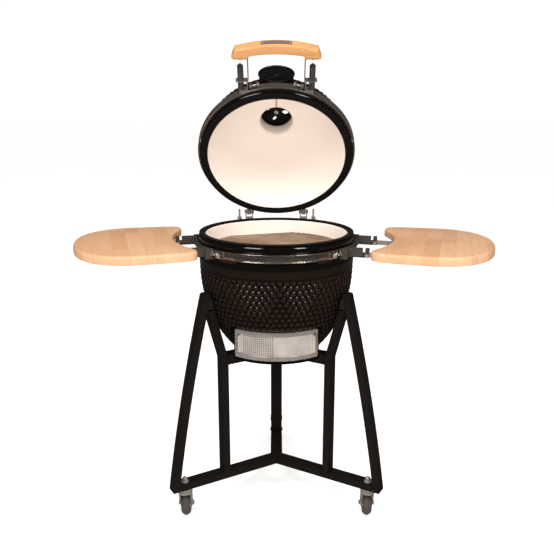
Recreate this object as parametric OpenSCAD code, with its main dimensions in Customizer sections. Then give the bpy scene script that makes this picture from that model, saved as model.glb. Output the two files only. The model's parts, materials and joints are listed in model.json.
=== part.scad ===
/* [Ceramic body] */
// Outer radius of the bowl and lid at their rims
rim_r = 233; // [230:1:236]
// Thickness of the ceramic wall
wall = 24; // [20:1:26]
// Height of the bowl's rim above the floor
rim_z = 860; // [855:1:865]
// Height of the bowl's flat underside above the floor
bowl_base_z = 505; // [500:1:510]
// Height of the dome's outer surface above the lid's rim
dome_h = 215; // [205:1:225]
// Radius of the chimney hole
chimney_r = 51; // [48:1:54]

/* [Lid] */
// Angle at which the lid stands open
lid_open = 55; // [0:1:70]
// Distance of the hinge pins behind the bowl's axis
hinge_y = 238.7; // [238:0.1:241]
// Height of the hinge pins above the floor
hinge_z = 881; // [880:0.5:882]
// Distance of each hinge from the middle
hinge_x = 90; // [86:1:94]
// Length of the wooden handle
handle_l = 242; // [230:1:256]

/* [Draft door] */
// Radius of the sliding doors' track
track_r = 180; // [179:0.5:181]
// Height of the draft frame
draft_h = 86; // [84:1:88]

/* [Stand] */
// Width of the stand's rectangular tube
tube_w = 38; // [34:1:40]
// Thickness of the stand's rectangular tube
tube_t = 20; // [18:1:22]
// Height of the underside of the stand's lower star
star_z = 100; // [98:1:102]
// Distance of the caster stems from the middle
caster_r = 320; // [314:1:322]
// Diameter of a caster wheel
wheel_d = 75; // [70:1:76]

/* [Side tables] */
// Height of the table tops above the floor
table_z = 853; // [850:1:856]
// Thickness of the table tops
table_t = 24; // [20:1:26]
// Angle by which the tables point forward of sideways
table_turn = 15; // [12:1:18]
// How much further out the right table hangs than the left
right_out = 41; // [36:1:44]

/* [Hidden] */
$fn = 96;
eps = 0.01;
BLACK = [0.07, 0.06, 0.055];
IRON = [0.13, 0.125, 0.12];
STEEL = [0.78, 0.76, 0.74];
ZINC = [0.70, 0.69, 0.67];
CLAY = [0.93, 0.87, 0.78];
WOOD = [0.87, 0.68, 0.47];

// ---- shared shapes ----

// A point on the bowl's ellipse, with t degrees below its widest level
shoulder_z = rim_z - 95;
function bowl_point(a, b, t) = [a * cos(t), shoulder_z - b * sin(t)];
// The angle t at which that ellipse comes down to height z
function bowl_angle(b, z) = asin((shoulder_z - z) / b);
bowl_a = rim_r - 4;
bowl_b = 310;
cavity_a = bowl_a - wall;
cavity_b = bowl_b - wall;
cavity_floor = bowl_base_z + wall;

// A point on the dome's superellipse over the rim plane, for t from 0 (rim) to 90 (top)
lid_z = rim_z + 6;
dome_n = 2.3;
function dome_point(a, h, t) = [a * pow(cos(t), 2 / dome_n), lid_z + h * pow(sin(t), 2 / dome_n)];

// The lid's parts are drawn closed and then opened about the hinge pins
module opened()
  translate([0, hinge_y, hinge_z]) rotate([-lid_open, 0, 0]) translate([0, -hinge_y, -hinge_z])
    children();

module both_sides() {
  children();
  mirror([1, 0, 0]) children();
}

// A ring segment about the vertical axis, centred on the front
module front_arc(r, t, z, h, from, to)
  rotate([0, 0, -90]) rotate([0, 0, from]) rotate_extrude(angle = to - from)
    translate([r, z]) square([t, h]);

// A hexagonal nut or bolt head with its axis along Z
module hex(across, h) cylinder(d = across / cos(30), h = h, $fn = 6);

// Places children at the front's two clamps of a band, facing outward
base_clamp_az = 43;
lid_clamp_az = 14.5;
module at_clamps(z, az)
  for (side = [-1, 1]) rotate([0, 0, side * az]) translate([0, -rim_r, z]) children();

// ---- ceramic bowl and what it holds ----

module bowl_solid() rotate_extrude() polygon(concat(
  [[0, bowl_base_z]],
  [for (t = [bowl_angle(bowl_b, bowl_base_z):-3:0]) bowl_point(bowl_a, bowl_b, t)],
  [[bowl_a, shoulder_z], [rim_r - 1.5, rim_z - 62], [rim_r, rim_z - 56], [rim_r, rim_z - 7],
   [rim_r - 2, rim_z - 2], [rim_r - 6, rim_z], [0, rim_z]]));

module bowl_cavity(gap = 0) rotate_extrude() polygon(concat(
  [[0, cavity_floor]],
  [for (t = [bowl_angle(cavity_b, cavity_floor):-3:0]) bowl_point(cavity_a - gap, cavity_b - gap, t)],
  [[cavity_a - gap, shoulder_z], [rim_r - wall - gap, rim_z - 6], [rim_r - wall + 3 - gap, rim_z + 1],
   [0, rim_z + 1]]));

draft_z = bowl_base_z + 12;
draft_az = 40.5;
// Half the width of the draft's way through the bowl and its frame
draft_half = 96;
boss_r = track_r - 2.5;

module base_bowl() color(BLACK) difference() {
  union() {
    bowl_solid();
    intersection() {
      translate([0, 0, bowl_base_z]) cylinder(r = boss_r, h = draft_h + 20);
      translate([-125, -200, bowl_base_z]) cube([250, 100, draft_h + 20]);
    }
  }
  bowl_cavity();
  difference() {
    translate([-124, -260, draft_z - 4]) cube([248, 200, draft_h + 8]);
    cylinder(r = boss_r, h = rim_z);
  }
  translate([-draft_half, -200, draft_z + 17]) cube([2 * draft_half, 160, draft_h - 34]);
}

module base_gasket() color(IRON) translate([0, 0, rim_z]) difference() {
  cylinder(r = rim_r - 4, h = 3);
  translate([0, 0, -1]) cylinder(r = rim_r - wall + 3.2, h = 5);
}

fire_top = rim_z - 170;
grate_z = rim_z - 262;

module fire_box() color(CLAY) difference() {
  intersection() {
    bowl_cavity(4);
    cylinder(r = rim_r, h = fire_top);
  }
  translate([0, 0, cavity_floor + 16]) cylinder(r = 96, h = 400);
  translate([0, 0, grate_z]) cylinder(r1 = 143, r2 = 176, h = fire_top - grate_z + eps);
  translate([0, 0, grate_z - 14]) cylinder(r = 116, h = 100);
  translate([-58, -200, draft_z + 17]) cube([116, 160, draft_h - 34]);
  for (a = [22.5:45:359]) rotate([0, 0, a]) translate([100, 0, grate_z + 34])
    rotate([0, 90, 0]) cylinder(r = 9, h = 120);
}

module fire_ring() color(CLAY) difference() {
  intersection() {
    bowl_cavity(4);
    translate([0, 0, fire_top]) cylinder(r = rim_r, h = rim_z - 48 - fire_top);
  }
  translate([0, 0, fire_top - 1]) cylinder(r = 180, h = 200);
}

module charcoal_grate() color(IRON) translate([0, 0, grate_z]) difference() {
  cylinder(r = 138, h = 8);
  intersection() {
    translate([0, 0, -1]) cylinder(r = 124, h = 10);
    for (x = [-110:22:110]) translate([x - 5, -130, -1]) cube([10, 260, 10]);
  }
}

grid_turn = 17;
grid_r = 188;
grid_back = 154;
bar_z = rim_z - 40;

module cooking_grate() color([0.47, 0.40, 0.34]) rotate([0, 0, grid_turn]) {
  for (y = [grid_back:-12:-grid_r + 8]) translate([0, y, bar_z]) rotate([0, 90, 0])
    cylinder(d = 7, h = 2 * sqrt(grid_r * grid_r - y * y), center = true, $fn = 24);
  for (x = [-100, 0, 100]) {
    back = x == 0 ? grid_back : 150;
    front = x == 0 ? 180 : 156;
    translate([x - 4, -front, bar_z - 8]) cube([8, front + back, 8]);
  }
}

// ---- steel bands and hinge ----

band_h = 24;
base_band_z = rim_z - 46;
lid_band_z = lid_z + 14;
band_r = rim_r + 3.5;
lip_r = rim_r + 6;

module band(z, inner) rotate_extrude() translate([0, z]) polygon([
  [inner, 0], [lip_r, 0], [lip_r, 2.5], [band_r, 2.5], [band_r, band_h - 2.5],
  [lip_r, band_h - 2.5], [lip_r, band_h], [inner, band_h]]);

// Two ears of a band's clamp, with the bolt that draws them together
module clamp_ears(z, az) difference() {
  at_clamps(z, az) for (x = [-9, 6]) translate([x, -18, 2]) cube([3, 16, band_h - 4]);
  at_clamps(z, az) translate([-20, -12, band_h / 2]) rotate([0, 90, 0]) cylinder(d = 6.1, h = 40);
}
module clamp_bolts(z, az) at_clamps(z, az) translate([0, -12, band_h / 2]) rotate([0, 90, 0]) {
  translate([0, 0, -13.5]) cylinder(d = 6, h = 27);
  translate([0, 0, -13.5]) hex(11, 4.4);
  translate([0, 0, 9.1]) hex(11, 4.4);
}

module base_band() color(STEEL) {
  band(base_band_z, rim_r + eps);
  clamp_ears(base_band_z, base_clamp_az);
}

module band_bolts() color(ZINC) clamp_bolts(base_band_z, base_clamp_az);

knuckle_r = 9;
pin_r = 4;

module pin_bore() translate([hinge_x - 30, hinge_y, hinge_z]) rotate([0, 90, 0])
  cylinder(r = pin_r + 0.05, h = 60);

module hinge_lower_brackets() color(STEEL) both_sides() difference() {
  union() {
    translate([hinge_x - 12, 205, base_band_z - 2]) cube([24, 27, band_h + 4]);
    for (x = [hinge_x - 12, hinge_x + 9]) {
      translate([x, 228, base_band_z - 2]) cube([3, 19.7, hinge_z - base_band_z + 2]);
      translate([x, hinge_y, hinge_z]) rotate([0, 90, 0]) cylinder(r = knuckle_r, h = 3);
    }
    translate([hinge_x - 12, 228, base_band_z - 2]) cube([24, 3, hinge_z - base_band_z - 12]);
    translate([hinge_x + 12, 212, base_band_z - 2]) cube([34, 22, 4]);
  }
  translate([0, 0, base_band_z - 10]) cylinder(r = lip_r + 0.1, h = 60);
  pin_bore();
}

module hinge_pins() color(ZINC) both_sides()
  translate([hinge_x, hinge_y, hinge_z]) rotate([0, 90, 0]) {
    translate([0, 0, -15]) cylinder(r = pin_r, h = 30);
    translate([0, 0, -15]) cylinder(r = 6.5, h = 2.8);
    translate([0, 0, 12.2]) cylinder(r = 6.5, h = 2.8);
  }

post_x = 122;
module hinge_springs() color(ZINC) both_sides() translate([post_x, 226, base_band_z + 2]) {
  cylinder(d = 6, h = 76);
  translate([0, 0, 12]) cylinder(d = 14, h = 34);
  translate([0, 0, 46]) hex(12, 6);
  hex(12, 5);
}

module hinge_upper_brackets() color(STEEL) opened() both_sides() difference() {
  union() {
    translate([hinge_x - 14, 205, lid_band_z + 12]) cube([28, 27, 16]);
    translate([hinge_x - 7, 226, hinge_z - 2]) cube([14, 6, 25]);
    translate([hinge_x - 7, 226, hinge_z - 2]) cube([14, 16, 11]);
    translate([hinge_x - 7, hinge_y, hinge_z]) rotate([0, 90, 0]) cylinder(r = knuckle_r, h = 14);
  }
  translate([0, 0, lid_z]) cylinder(r = lip_r + 0.1, h = 90);
  pin_bore();
}

// ---- lid ----

neck_r = 66;
neck_top = lid_z + dome_h + 17;

module dome_outside() rotate_extrude() polygon(concat(
  [[0, lid_z], [rim_r - 5, lid_z], [rim_r - 1, lid_z + 3], [rim_r, lid_z + 7], [rim_r, lid_z + 42],
   [rim_r - 2.5, lid_z + 46]],
  [for (t = [10:4:88]) dome_point(rim_r - 2, dome_h, t)],
  [[0, lid_z + dome_h]]));

module dome_inside() rotate_extrude() polygon(concat(
  [[0, lid_z - 1], [rim_r - wall, lid_z - 1], [rim_r - wall - 2, lid_z + 5]],
  [for (t = [4:4:88]) dome_point(rim_r - wall - 2.5, dome_h - 30, t)],
  [[0, lid_z + dome_h - 30]]));

// The thermometer's own frame: on the front of the dome, Z out of the dial
gauge_h = 95;
gauge_tilt = 7;
module at_gauge() translate([0, -rim_r + 2.5, lid_z + gauge_h]) rotate([90 - gauge_tilt, 0, 0]) children();

module dome_lid() color(BLACK) opened() difference() {
  union() {
    dome_outside();
    translate([0, 0, lid_z + dome_h - 15]) cylinder(r = neck_r, h = neck_top - lid_z - dome_h + 15);
  }
  dome_inside();
  cylinder(r = chimney_r, h = 2000);
  at_gauge() translate([0, 0, -80]) cylinder(r = 5, h = 70);
}

module lid_gasket() color(IRON) opened() translate([0, 0, lid_z - 2.6]) difference() {
  cylinder(r = rim_r - 4, h = 2.6);
  translate([0, 0, -1]) cylinder(r = rim_r - wall + 3.2, h = 5);
}

module lid_band() color(STEEL) opened() {
  band(lid_band_z, rim_r + eps);
  clamp_ears(lid_band_z, lid_clamp_az);
}

module lid_band_bolts() color(ZINC) opened() clamp_bolts(lid_band_z, lid_clamp_az);

// ---- handle ----

grip_z = lid_band_z + band_h / 2;
grip_h = 33;
grip_t = 28;
grip_back = 323;
grip_bow = 17;
foot_y = 253;
web_x = 77;
bolt_x = 98;
// Radius of the arc that bows the grip forward by grip_bow over half its length
grip_arc = (pow(handle_l / 2, 2) + pow(grip_bow, 2)) / (2 * grip_bow);
function grip_y(x) = -grip_back - grip_bow + grip_arc - sqrt(pow(grip_arc, 2) - x * x);
strap_t = 2.5;
// Back face of the grip's flat seats for the straps, which start seat_x from its middle
seat_y = -grip_back - strap_t;
seat_x = 75;

module handle_grip() color(WOOD) opened() difference() {
  translate([0, 0, grip_z - grip_h / 2]) linear_extrude(grip_h) polygon(concat(
    [[-handle_l / 2, seat_y], [-seat_x, seat_y]],
    [for (x = [-seat_x:seat_x / 10:seat_x]) [x, grip_y(x)]],
    [[seat_x, seat_y], [handle_l / 2, seat_y]],
    [for (x = [handle_l / 2 - 8:-(handle_l - 16) / 24:-handle_l / 2 + 7]) [x, grip_y(x) - grip_t]]));
  for (side = [-1, 1]) translate([side * bolt_x, -grip_back, grip_z]) rotate([90, 0, 0]) {
    cylinder(d = 6.2, h = 80);
    translate([0, 0, 23]) cylinder(d = 13, h = 60);
  }
}

module handle_bolts() color(ZINC) opened() both_sides()
  translate([bolt_x, -grip_back + 1, grip_z]) rotate([90, 0, 0]) {
    cylinder(d = 6, h = 24);
    translate([0, 0, 24]) cylinder(d = 11, h = 4);
    translate([0, 0, -3]) hex(10, 3.9);
  }

// A bent strap on each side: a flange under the grip, a web and a foot, then an ear on the band
strap_w = 20;
module handle_brackets() color(STEEL) opened() both_sides() difference() {
  translate([0, 0, grip_z - strap_w / 2]) {
    translate([web_x, -grip_back - strap_t, 0]) cube([37, strap_t, strap_w]);
    translate([web_x, -grip_back - strap_t, 0]) cube([strap_t, grip_back - foot_y + strap_t, strap_w]);
    translate([web_x, -foot_y - strap_t, 0]) cube([36, strap_t, strap_w]);
    translate([web_x + strap_t, -foot_y - eps, 0]) cube([strap_t, 34, strap_w]);
    translate([web_x + strap_t, -foot_y + 27, 0]) cube([24, 30, strap_w]);
  }
  translate([0, 0, lid_z]) cylinder(r = lip_r + 0.1, h = 90);
  translate([bolt_x, -grip_back + 5, grip_z]) rotate([90, 0, 0]) cylinder(d = 6.2, h = 40);
  translate([bolt_x + 1, -200, grip_z]) rotate([90, 0, 0]) cylinder(d = 17.1, h = 90);
}

post_l = 91;
module handle_posts() color(IRON) opened() both_sides() difference() {
  translate([bolt_x + 1, -208, grip_z]) rotate([90, 0, 0]) {
    cylinder(d = 17, h = post_l);
    translate([0, 0, post_l]) cylinder(d = 8, h = 5);
  }
  translate([0, 0, lid_z]) cylinder(r = lip_r + 0.1, h = 90);
}

module label_plate() color([0.42, 0.38, 0.36]) opened()
  translate([0, 0, grip_z - 8]) linear_extrude(16) polygon(concat(
    [for (x = [-41:8.2:41]) [x, grip_y(x) - grip_t - 0.05]],
    [for (x = [41:-8.2:-41]) [x, grip_y(x) - grip_t - 1.4]]));

// ---- thermometer ----

gauge_r = 53;
module thermometer_case() color(IRON) opened() difference() {
  at_gauge() difference() {
    translate([0, 0, -46]) cylinder(r = gauge_r - 3.2, h = 46);
    translate([0, 0, -8]) cylinder(r = gauge_r - 6, h = 9);
    translate([0, 0, -80]) cylinder(r = 4.1, h = 100);
  }
  dome_outside();
}
module gauge_rim() at_gauge() difference() {
  translate([0, 0, -3.5]) cylinder(r = gauge_r, h = 5.5);
  translate([0, 0, -7]) cylinder(r = gauge_r - 3, h = 7);
  translate([0, 0, -1]) cylinder(r = gauge_r - 5, h = 9);
}
module thermometer_dial() color([0.2, 0.2, 0.2]) opened() at_gauge() translate([0, 0, -8])
  difference() {
    cylinder(r = gauge_r - 6.2, h = 1.5);
    translate([0, 0, -1]) cylinder(r = 4.1, h = 4);
  }
module thermometer_glass() color([0.5, 0.55, 0.6]) opened() {
  gauge_rim();
  at_gauge() translate([0, 0, -2.4]) cylinder(r = gauge_r - 6.2, h = 1.4);
}
module thermometer_probe() color(STEEL) opened() at_gauge() {
  translate([0, 0, -104]) cylinder(r = 2.5, h = 60);
  translate([0, 0, -44.5]) cylinder(r = 4, h = 38.5);
}
needle_rest = 225;
module thermometer_needle() color("white") opened() at_gauge() translate([0, 0, -5.6])
  rotate([0, 0, needle_rest]) {
    cylinder(r = 4, h = 1.8);
    translate([-12, -1.2, 0]) cube([50, 2.4, 1.2]);
  }

// ---- chimney damper ----

vent_r = 11.5;
vent_ring = 30;
vents = 4;
vent_rest = 20;
module damper_base() color(IRON) opened() difference() {
  translate([0, 0, neck_top]) {
    cylinder(r = neck_r + 2, h = 10);
    translate([0, 0, -6]) cylinder(r = chimney_r - 1, h = 16);
  }
  translate([0, 0, neck_top - 14]) cylinder(r = chimney_r - 5, h = 18);
  for (a = [0:360 / vents:359]) rotate([0, 0, a]) translate([vent_ring, 0, neck_top])
    cylinder(r = vent_r, h = 20);
  translate([0, 0, neck_top]) cylinder(r = 4.05, h = 20);
}
module damper_disc() color(IRON) opened() translate([0, 0, neck_top + 10.3]) difference() {
  union() {
    cylinder(r = 52, h = 5);
    translate([44, -9, 0]) cube([34, 18, 5]);
    translate([72, -9, 0]) cube([6, 18, 16]);
  }
  for (a = [0:360 / vents:359]) rotate([0, 0, a + vent_rest]) translate([vent_ring, 0, -1])
    cylinder(r = vent_r - 1, h = 8);
  translate([0, 0, -1]) cylinder(r = 4.05, h = 8);
}
module damper_knob() color(ZINC) opened() translate([0, 0, neck_top]) {
  translate([0, 0, 2]) cylinder(r = 4, h = 16);
  translate([0, 0, 15.6]) cylinder(r = 9, h = 6);
  translate([0, 0, -1]) cylinder(r = 7, h = 5);
}

// ---- draft door ----

rail = 13;
sheet = 1.4;
frame_in = boss_r + 0.05;
frame_out = boss_r + 9;
// A back plate with a channel along its top and bottom, bent round the bowl, and four closed ends
module draft_frame() color(STEEL) difference() {
  union() {
    rotate([0, 0, -90 - draft_az]) rotate_extrude(angle = 2 * draft_az) translate([0, draft_z]) polygon([
      [frame_in, 0], [frame_out, 0], [frame_out, rail], [frame_out - sheet, rail],
      [frame_out - sheet, sheet], [frame_in + sheet, sheet], [frame_in + sheet, draft_h - sheet],
      [frame_out - sheet, draft_h - sheet], [frame_out - sheet, draft_h - rail],
      [frame_out, draft_h - rail], [frame_out, draft_h], [frame_in, draft_h]]);
    for (a = [-draft_az + 0.1, draft_az - 0.7], z = [draft_z + 0.5, draft_z + draft_h - rail + 0.5])
      front_arc(frame_in + 0.5, frame_out - frame_in - 1, z, rail - 1, a, a + 0.6);
  }
  translate([-draft_half, -200, draft_z + 17]) cube([2 * draft_half, 60, draft_h - 34]);
  at_draft_corners() translate([0, 0, -20]) cylinder(d = 5.2, h = 30);
}
screw_az = 37.6;
module at_draft_corners() for (a = [-screw_az, screw_az], z = [draft_z + 6.5, draft_z + draft_h - 6.5])
  rotate([0, 0, a]) translate([0, -boss_r - 9, z]) rotate([90, 0, 0]) children();
module draft_screws() color(ZINC) at_draft_corners() {
  translate([0, 0, -8.9]) cylinder(d = 5, h = 9);
  cylinder(d = 9, h = 2.2);
}

slide_z = draft_z + 2.2;
slide_h = draft_h - 4.4;
module finger_tab(r, a) rotate([0, 0, a]) intersection() {
  translate([-1.2, -r - 12, draft_z + rail + 3]) cube([2.4, 12, draft_h - 2 * rail - 6]);
  translate([0, -r, draft_z + draft_h / 2]) rotate([0, 90, 0])
    cylinder(r = 27, h = 8, center = true);
}
module draft_door() color(STEEL) {
  front_arc(boss_r + 5.2, 1.4, slide_z, slide_h, -3, 35);
  finger_tab(boss_r + 6, 34.5);
}
hole_rows = 10;
hole_cols = 14;
module draft_screen() color(STEEL) difference() {
  union() {
    front_arc(boss_r + 2.6, 1.4, slide_z, slide_h, -35, -3.4);
    finger_tab(boss_r + 3.4, -34.5);
  }
  for (i = [0:hole_cols - 1], k = [0:hole_rows - 1])
    rotate([0, 0, -31.4 + i * 2]) translate([0, -boss_r + 4, draft_z + rail + 4 + k * 5.8])
      rotate([90, 0, 0]) cylinder(d = 3, h = 12, $fn = 16);
}

// ---- stand ----

leg_foot = 354;
leg_top = 698;
// Distance of an outer leg's middle from the axis, at height z
function leg_r(z) = leg_foot - 0.145 * (z - star_z) - 0.00009 * pow(z - star_z, 2);
strut_r = 185;
strut_bend = 495;
strut_top = 650.5;
function strut_at(z) = strut_r + max(0, z - strut_bend) * 0.268;

// A tube that lies in an upright plane through the axis and follows the given middle line
module upright_tube(mid) rotate([90, 0, 0]) difference() {
  linear_extrude(tube_w, center = true) polygon(concat(
    [for (p = mid) [p[0] + tube_t / 2, p[1]]],
    [for (i = [len(mid) - 1:-1:0]) [mid[i][0] - tube_t / 2, mid[i][1]]]));
  linear_extrude(tube_w - 4, center = true) polygon(concat(
    [for (p = mid) [p[0] + tube_t / 2 - 2, p[1] + (p == mid[0] ? -1 : p[1] == mid[len(mid) - 1][1] ? 1 : 0)]],
    [for (i = [len(mid) - 1:-1:0]) [mid[i][0] - tube_t / 2 + 2,
      mid[i][1] + (i == 0 ? -1 : i == len(mid) - 1 ? 1 : 0)]]));
}
module outer_leg() upright_tube([for (k = [0:12]) let (z = star_z + k * (leg_top - star_z) / 12) [leg_r(z), z]]);
module inner_strut() upright_tube([for (z = [star_z + tube_t, strut_bend, strut_top]) [strut_at(z), z]]);

LEFT = -150;
RIGHT = -30;
REAR = 90;
module leg_left() color(BLACK) rotate([0, 0, LEFT]) outer_leg();
module leg_right() color(BLACK) rotate([0, 0, RIGHT]) outer_leg();
module leg_rear() color(BLACK) rotate([0, 0, REAR]) outer_leg();
module strut_left() color(BLACK) rotate([0, 0, LEFT]) inner_strut();
module strut_right() color(BLACK) rotate([0, 0, RIGHT]) inner_strut();
module strut_rear() color(BLACK) rotate([0, 0, REAR]) inner_strut();

module each_leg() for (a = [LEFT, RIGHT, REAR]) rotate([0, 0, a]) children();

bar_end = leg_foot - tube_t / 2 - 4;
module lower_star() color(BLACK) difference() {
  each_leg() translate([0, -tube_w / 2, star_z]) cube([bar_end, tube_w, tube_t]);
  each_leg() translate([40, -tube_w / 2 + 2, star_z + 2]) cube([caster_r - 70, tube_w - 4, tube_t - 4]);
  each_leg() translate([caster_r, 0, star_z - 1]) cylinder(d = 12.1, h = tube_t + 2);
}

upper_bar = 30;
module upper_star() color(BLACK) difference() {
  each_leg() translate([0, -tube_w / 2, bowl_base_z - upper_bar])
    cube([strut_r - tube_t / 2, tube_w, upper_bar]);
  each_leg() translate([40, -tube_w / 2 + 2, bowl_base_z - upper_bar + 2])
    cube([strut_r - tube_t / 2 - 44, tube_w - 4, upper_bar - 4]);
}

module leg_caps() color(IRON) each_leg()
  translate([leg_r(leg_top) - tube_t / 2 + 2.8, -tube_w / 2 + 2.2, leg_top - 2])
    cube([tube_t - 5.6, tube_w - 4.4, 4]);

// Rubber wedges that fill the gap between the legs and the bowl, thin at the top
pad_low = 652;
pad_high = 688;
module bowl_pads() color(IRON) each_leg() rotate([90, 0, 0]) linear_extrude(28, center = true) polygon([
  [214.8, pad_low], [leg_r(pad_low) - tube_t / 2 - 0.1, pad_low],
  [leg_r(pad_high) - tube_t / 2 - 0.1, pad_high], [leg_r(pad_high) - tube_t / 2 - 4, pad_high]]);

module caster_nuts() color(STEEL) each_leg() translate([caster_r, 0, star_z + tube_t]) {
  cylinder(d = 24, h = 2);
  hex(17, 10);
  translate([0, 0, 8]) intersection() {
    sphere(d = 17);
    cylinder(d = 20, h = 20);
  }
}

// ---- casters ----

caster_trail = 18;
wheel_w = 27;
wheel_z = wheel_d / 2;
fork_in = 15.5;
module at_caster(a) rotate([0, 0, a]) translate([caster_r, 0, 0]) rotate([0, 0, -a]) children();
module caster_fork(a) color(ZINC) at_caster(a) {
  translate([0, 0, star_z - 5.2]) cylinder(d = 44, h = 5);
  translate([0, 0, star_z - 9]) cylinder(d = 36, h = 5);
  translate([0, 0, star_z - 15]) cylinder(d = 44, h = 7);
  translate([0, 0, star_z - 15]) cylinder(d = 12, h = 14.9 + tube_t);
  for (side = [-1, 1]) difference() {
    hull() {
      translate([side * (fork_in + 1.5) - 1.5, -14, star_z - 15]) cube([3, 32, 5]);
      translate([side * (fork_in + 1.5) - 1.5, caster_trail, wheel_z]) rotate([0, 90, 0])
        cylinder(r = 10, h = 3, $fn = 32);
    }
  }
  translate([-fork_in - 8, caster_trail, wheel_z]) rotate([0, 90, 0]) {
    cylinder(d = 8, h = 2 * fork_in + 16);
    hex(13, 5);
    translate([0, 0, 2 * fork_in + 11]) hex(13, 5);
  }
}
module caster_wheel(a) color([0.42, 0.41, 0.41]) at_caster(a)
  translate([0, caster_trail, wheel_z]) rotate([0, 90, 0]) rotate_extrude() polygon([
    [4.05, -fork_in + 1], [11, -fork_in + 1], [11, -8], [25, -8], [25, -wheel_w / 2],
    [wheel_z - 5, -wheel_w / 2], [wheel_z - 1.5, -wheel_w / 2 + 3], [wheel_z, -wheel_w / 2 + 8],
    [wheel_z, wheel_w / 2 - 8], [wheel_z - 1.5, wheel_w / 2 - 3], [wheel_z - 5, wheel_w / 2],
    [25, wheel_w / 2], [25, 8], [11, 8], [11, fork_in - 1], [4.05, fork_in - 1]]);
module caster_fork_left() caster_fork(LEFT);
module caster_fork_right() caster_fork(RIGHT);
module caster_fork_rear() caster_fork(REAR);
module caster_wheel_left() caster_wheel(LEFT);
module caster_wheel_right() caster_wheel(RIGHT);
module caster_wheel_rear() caster_wheel(REAR);

// ---- side tables: drawn in the right one's own frame, X outward from the bowl ----

hook_u = 284;
hook_v = 90;
hook_z = table_z - table_t - 7;
arm_h = 25;
arm_w = 16;
module right_side() rotate([0, 0, -table_turn]) children();
module left_side() mirror([1, 0, 0]) right_side() children();

// A channel arm bolted to the band, with a hook at its end that holds the table's pin
module table_arms() for (v = [-hook_v, hook_v]) difference() {
  union() {
    translate([190, v - arm_w / 2, hook_z - 6]) cube([hook_u - 190 + 5.5, arm_w, arm_h]);
    translate([190, v - 24, base_band_z - 3]) cube([42, 48, band_h + 6]);
  }
  translate([234, v - arm_w / 2 + 2.5, hook_z - 3.5]) cube([100, arm_w - 5, arm_h]);
  translate([hook_u - 13, v - arm_w / 2 + 2.5, hook_z - 10]) cube([40, arm_w - 5, arm_h]);
  translate([hook_u - 13, v - 30, hook_z + 6]) cube([8, 60, 20]);
  translate([0, 0, base_band_z - 30]) cylinder(r = lip_r + 0.1, h = 100);
  translate([hook_u, v - 30, hook_z]) rotate([-90, 0, 0]) cylinder(d = 6.1, h = 60);
}
module arm_pins() for (v = [-hook_v, hook_v]) translate([hook_u, v - 12, hook_z]) rotate([-90, 0, 0]) {
  cylinder(d = 6, h = 24);
  cylinder(d = 10, h = 3.8);
  translate([0, 0, 20.2]) cylinder(d = 10, h = 3.8);
}
module left_table_arms() color(IRON) left_side() table_arms();
module right_table_arms() color(IRON) right_side() table_arms();
module table_pins() color(ZINC) {
  left_side() arm_pins();
  right_side() arm_pins();
}

board_mid = 418;
board_end = 583;
board_half = 214;
inner_r = 306;
tip_v = 196;
tip_r = 14;
// The table top's outline: a rounded outer end, two tips, and an arc about the bowl between them
function end_arc(t) = [
  board_mid + (board_end - board_mid) * pow(abs(sin(t)), 2 / 2.25),
  board_half * sign(cos(t)) * pow(abs(cos(t)), 2 / 2.25)];
module board_outline() difference() {
  polygon(concat(
    [[board_mid - 80, board_half - 3], [280, tip_v + 7], [264, tip_v - 6], [262, 150],
     [262, -150], [264, -tip_v + 6], [280, -tip_v - 7], [board_mid - 80, -board_half + 3]],
    [for (t = [180:-5:0]) end_arc(t)]));
  circle(r = inner_r);
}
bull = 7;
module board(out) translate([out, 0, table_z - table_t]) {
  linear_extrude(table_t - bull) board_outline();
  translate([0, 0, table_t - bull - eps]) linear_extrude(bull) offset(delta = -2) board_outline();
}
module left_table() color(WOOD) left_side() board(0);
module right_table() color(WOOD) right_side() board(right_out);

// Steel bars under each table that end in eyes round the arms' pins
module table_bars(out) difference() {
  union() for (v = [-hook_v, hook_v]) {
    translate([hook_u, v - 4, hook_z - 6]) cube([200 + out, 8, 13]);
    translate([hook_u, v - 4, hook_z]) rotate([-90, 0, 0]) cylinder(r = 6, h = 8);
    translate([inner_r + 30 + out, v - 12, table_z - table_t - 3]) cube([150, 24, 3]);
  }
  for (v = [-hook_v, hook_v]) translate([hook_u, v - 20, hook_z]) rotate([-90, 0, 0])
    cylinder(d = 6.1, h = 40);
}
module left_table_bars() color(ZINC) left_side() table_bars(0);
module right_table_bars() color(ZINC) right_side() table_bars(right_out);

base_bowl();
base_gasket();
base_band();
band_bolts();
fire_box();
fire_ring();
charcoal_grate();
hinge_lower_brackets();
hinge_pins();
hinge_springs();
draft_frame();
draft_screws();
lower_star();
upper_star();
leg_left();
leg_right();
leg_rear();
strut_left();
strut_right();
strut_rear();
leg_caps();
bowl_pads();
caster_nuts();
left_table_arms();
right_table_arms();
table_pins();
dome_lid();
lid_gasket();
lid_band();
lid_band_bolts();
hinge_upper_brackets();
handle_grip();
handle_brackets();
handle_posts();
handle_bolts();
label_plate();
thermometer_case();
thermometer_dial();
thermometer_glass();
thermometer_probe();
thermometer_needle();
damper_base();
damper_disc();
damper_knob();
draft_door();
draft_screen();
left_table();
left_table_bars();
right_table();
right_table_bars();
caster_fork_left();
caster_fork_right();
caster_fork_rear();
caster_wheel_left();
caster_wheel_right();
caster_wheel_rear();
cooking_grate();
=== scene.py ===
import json
import math

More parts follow.
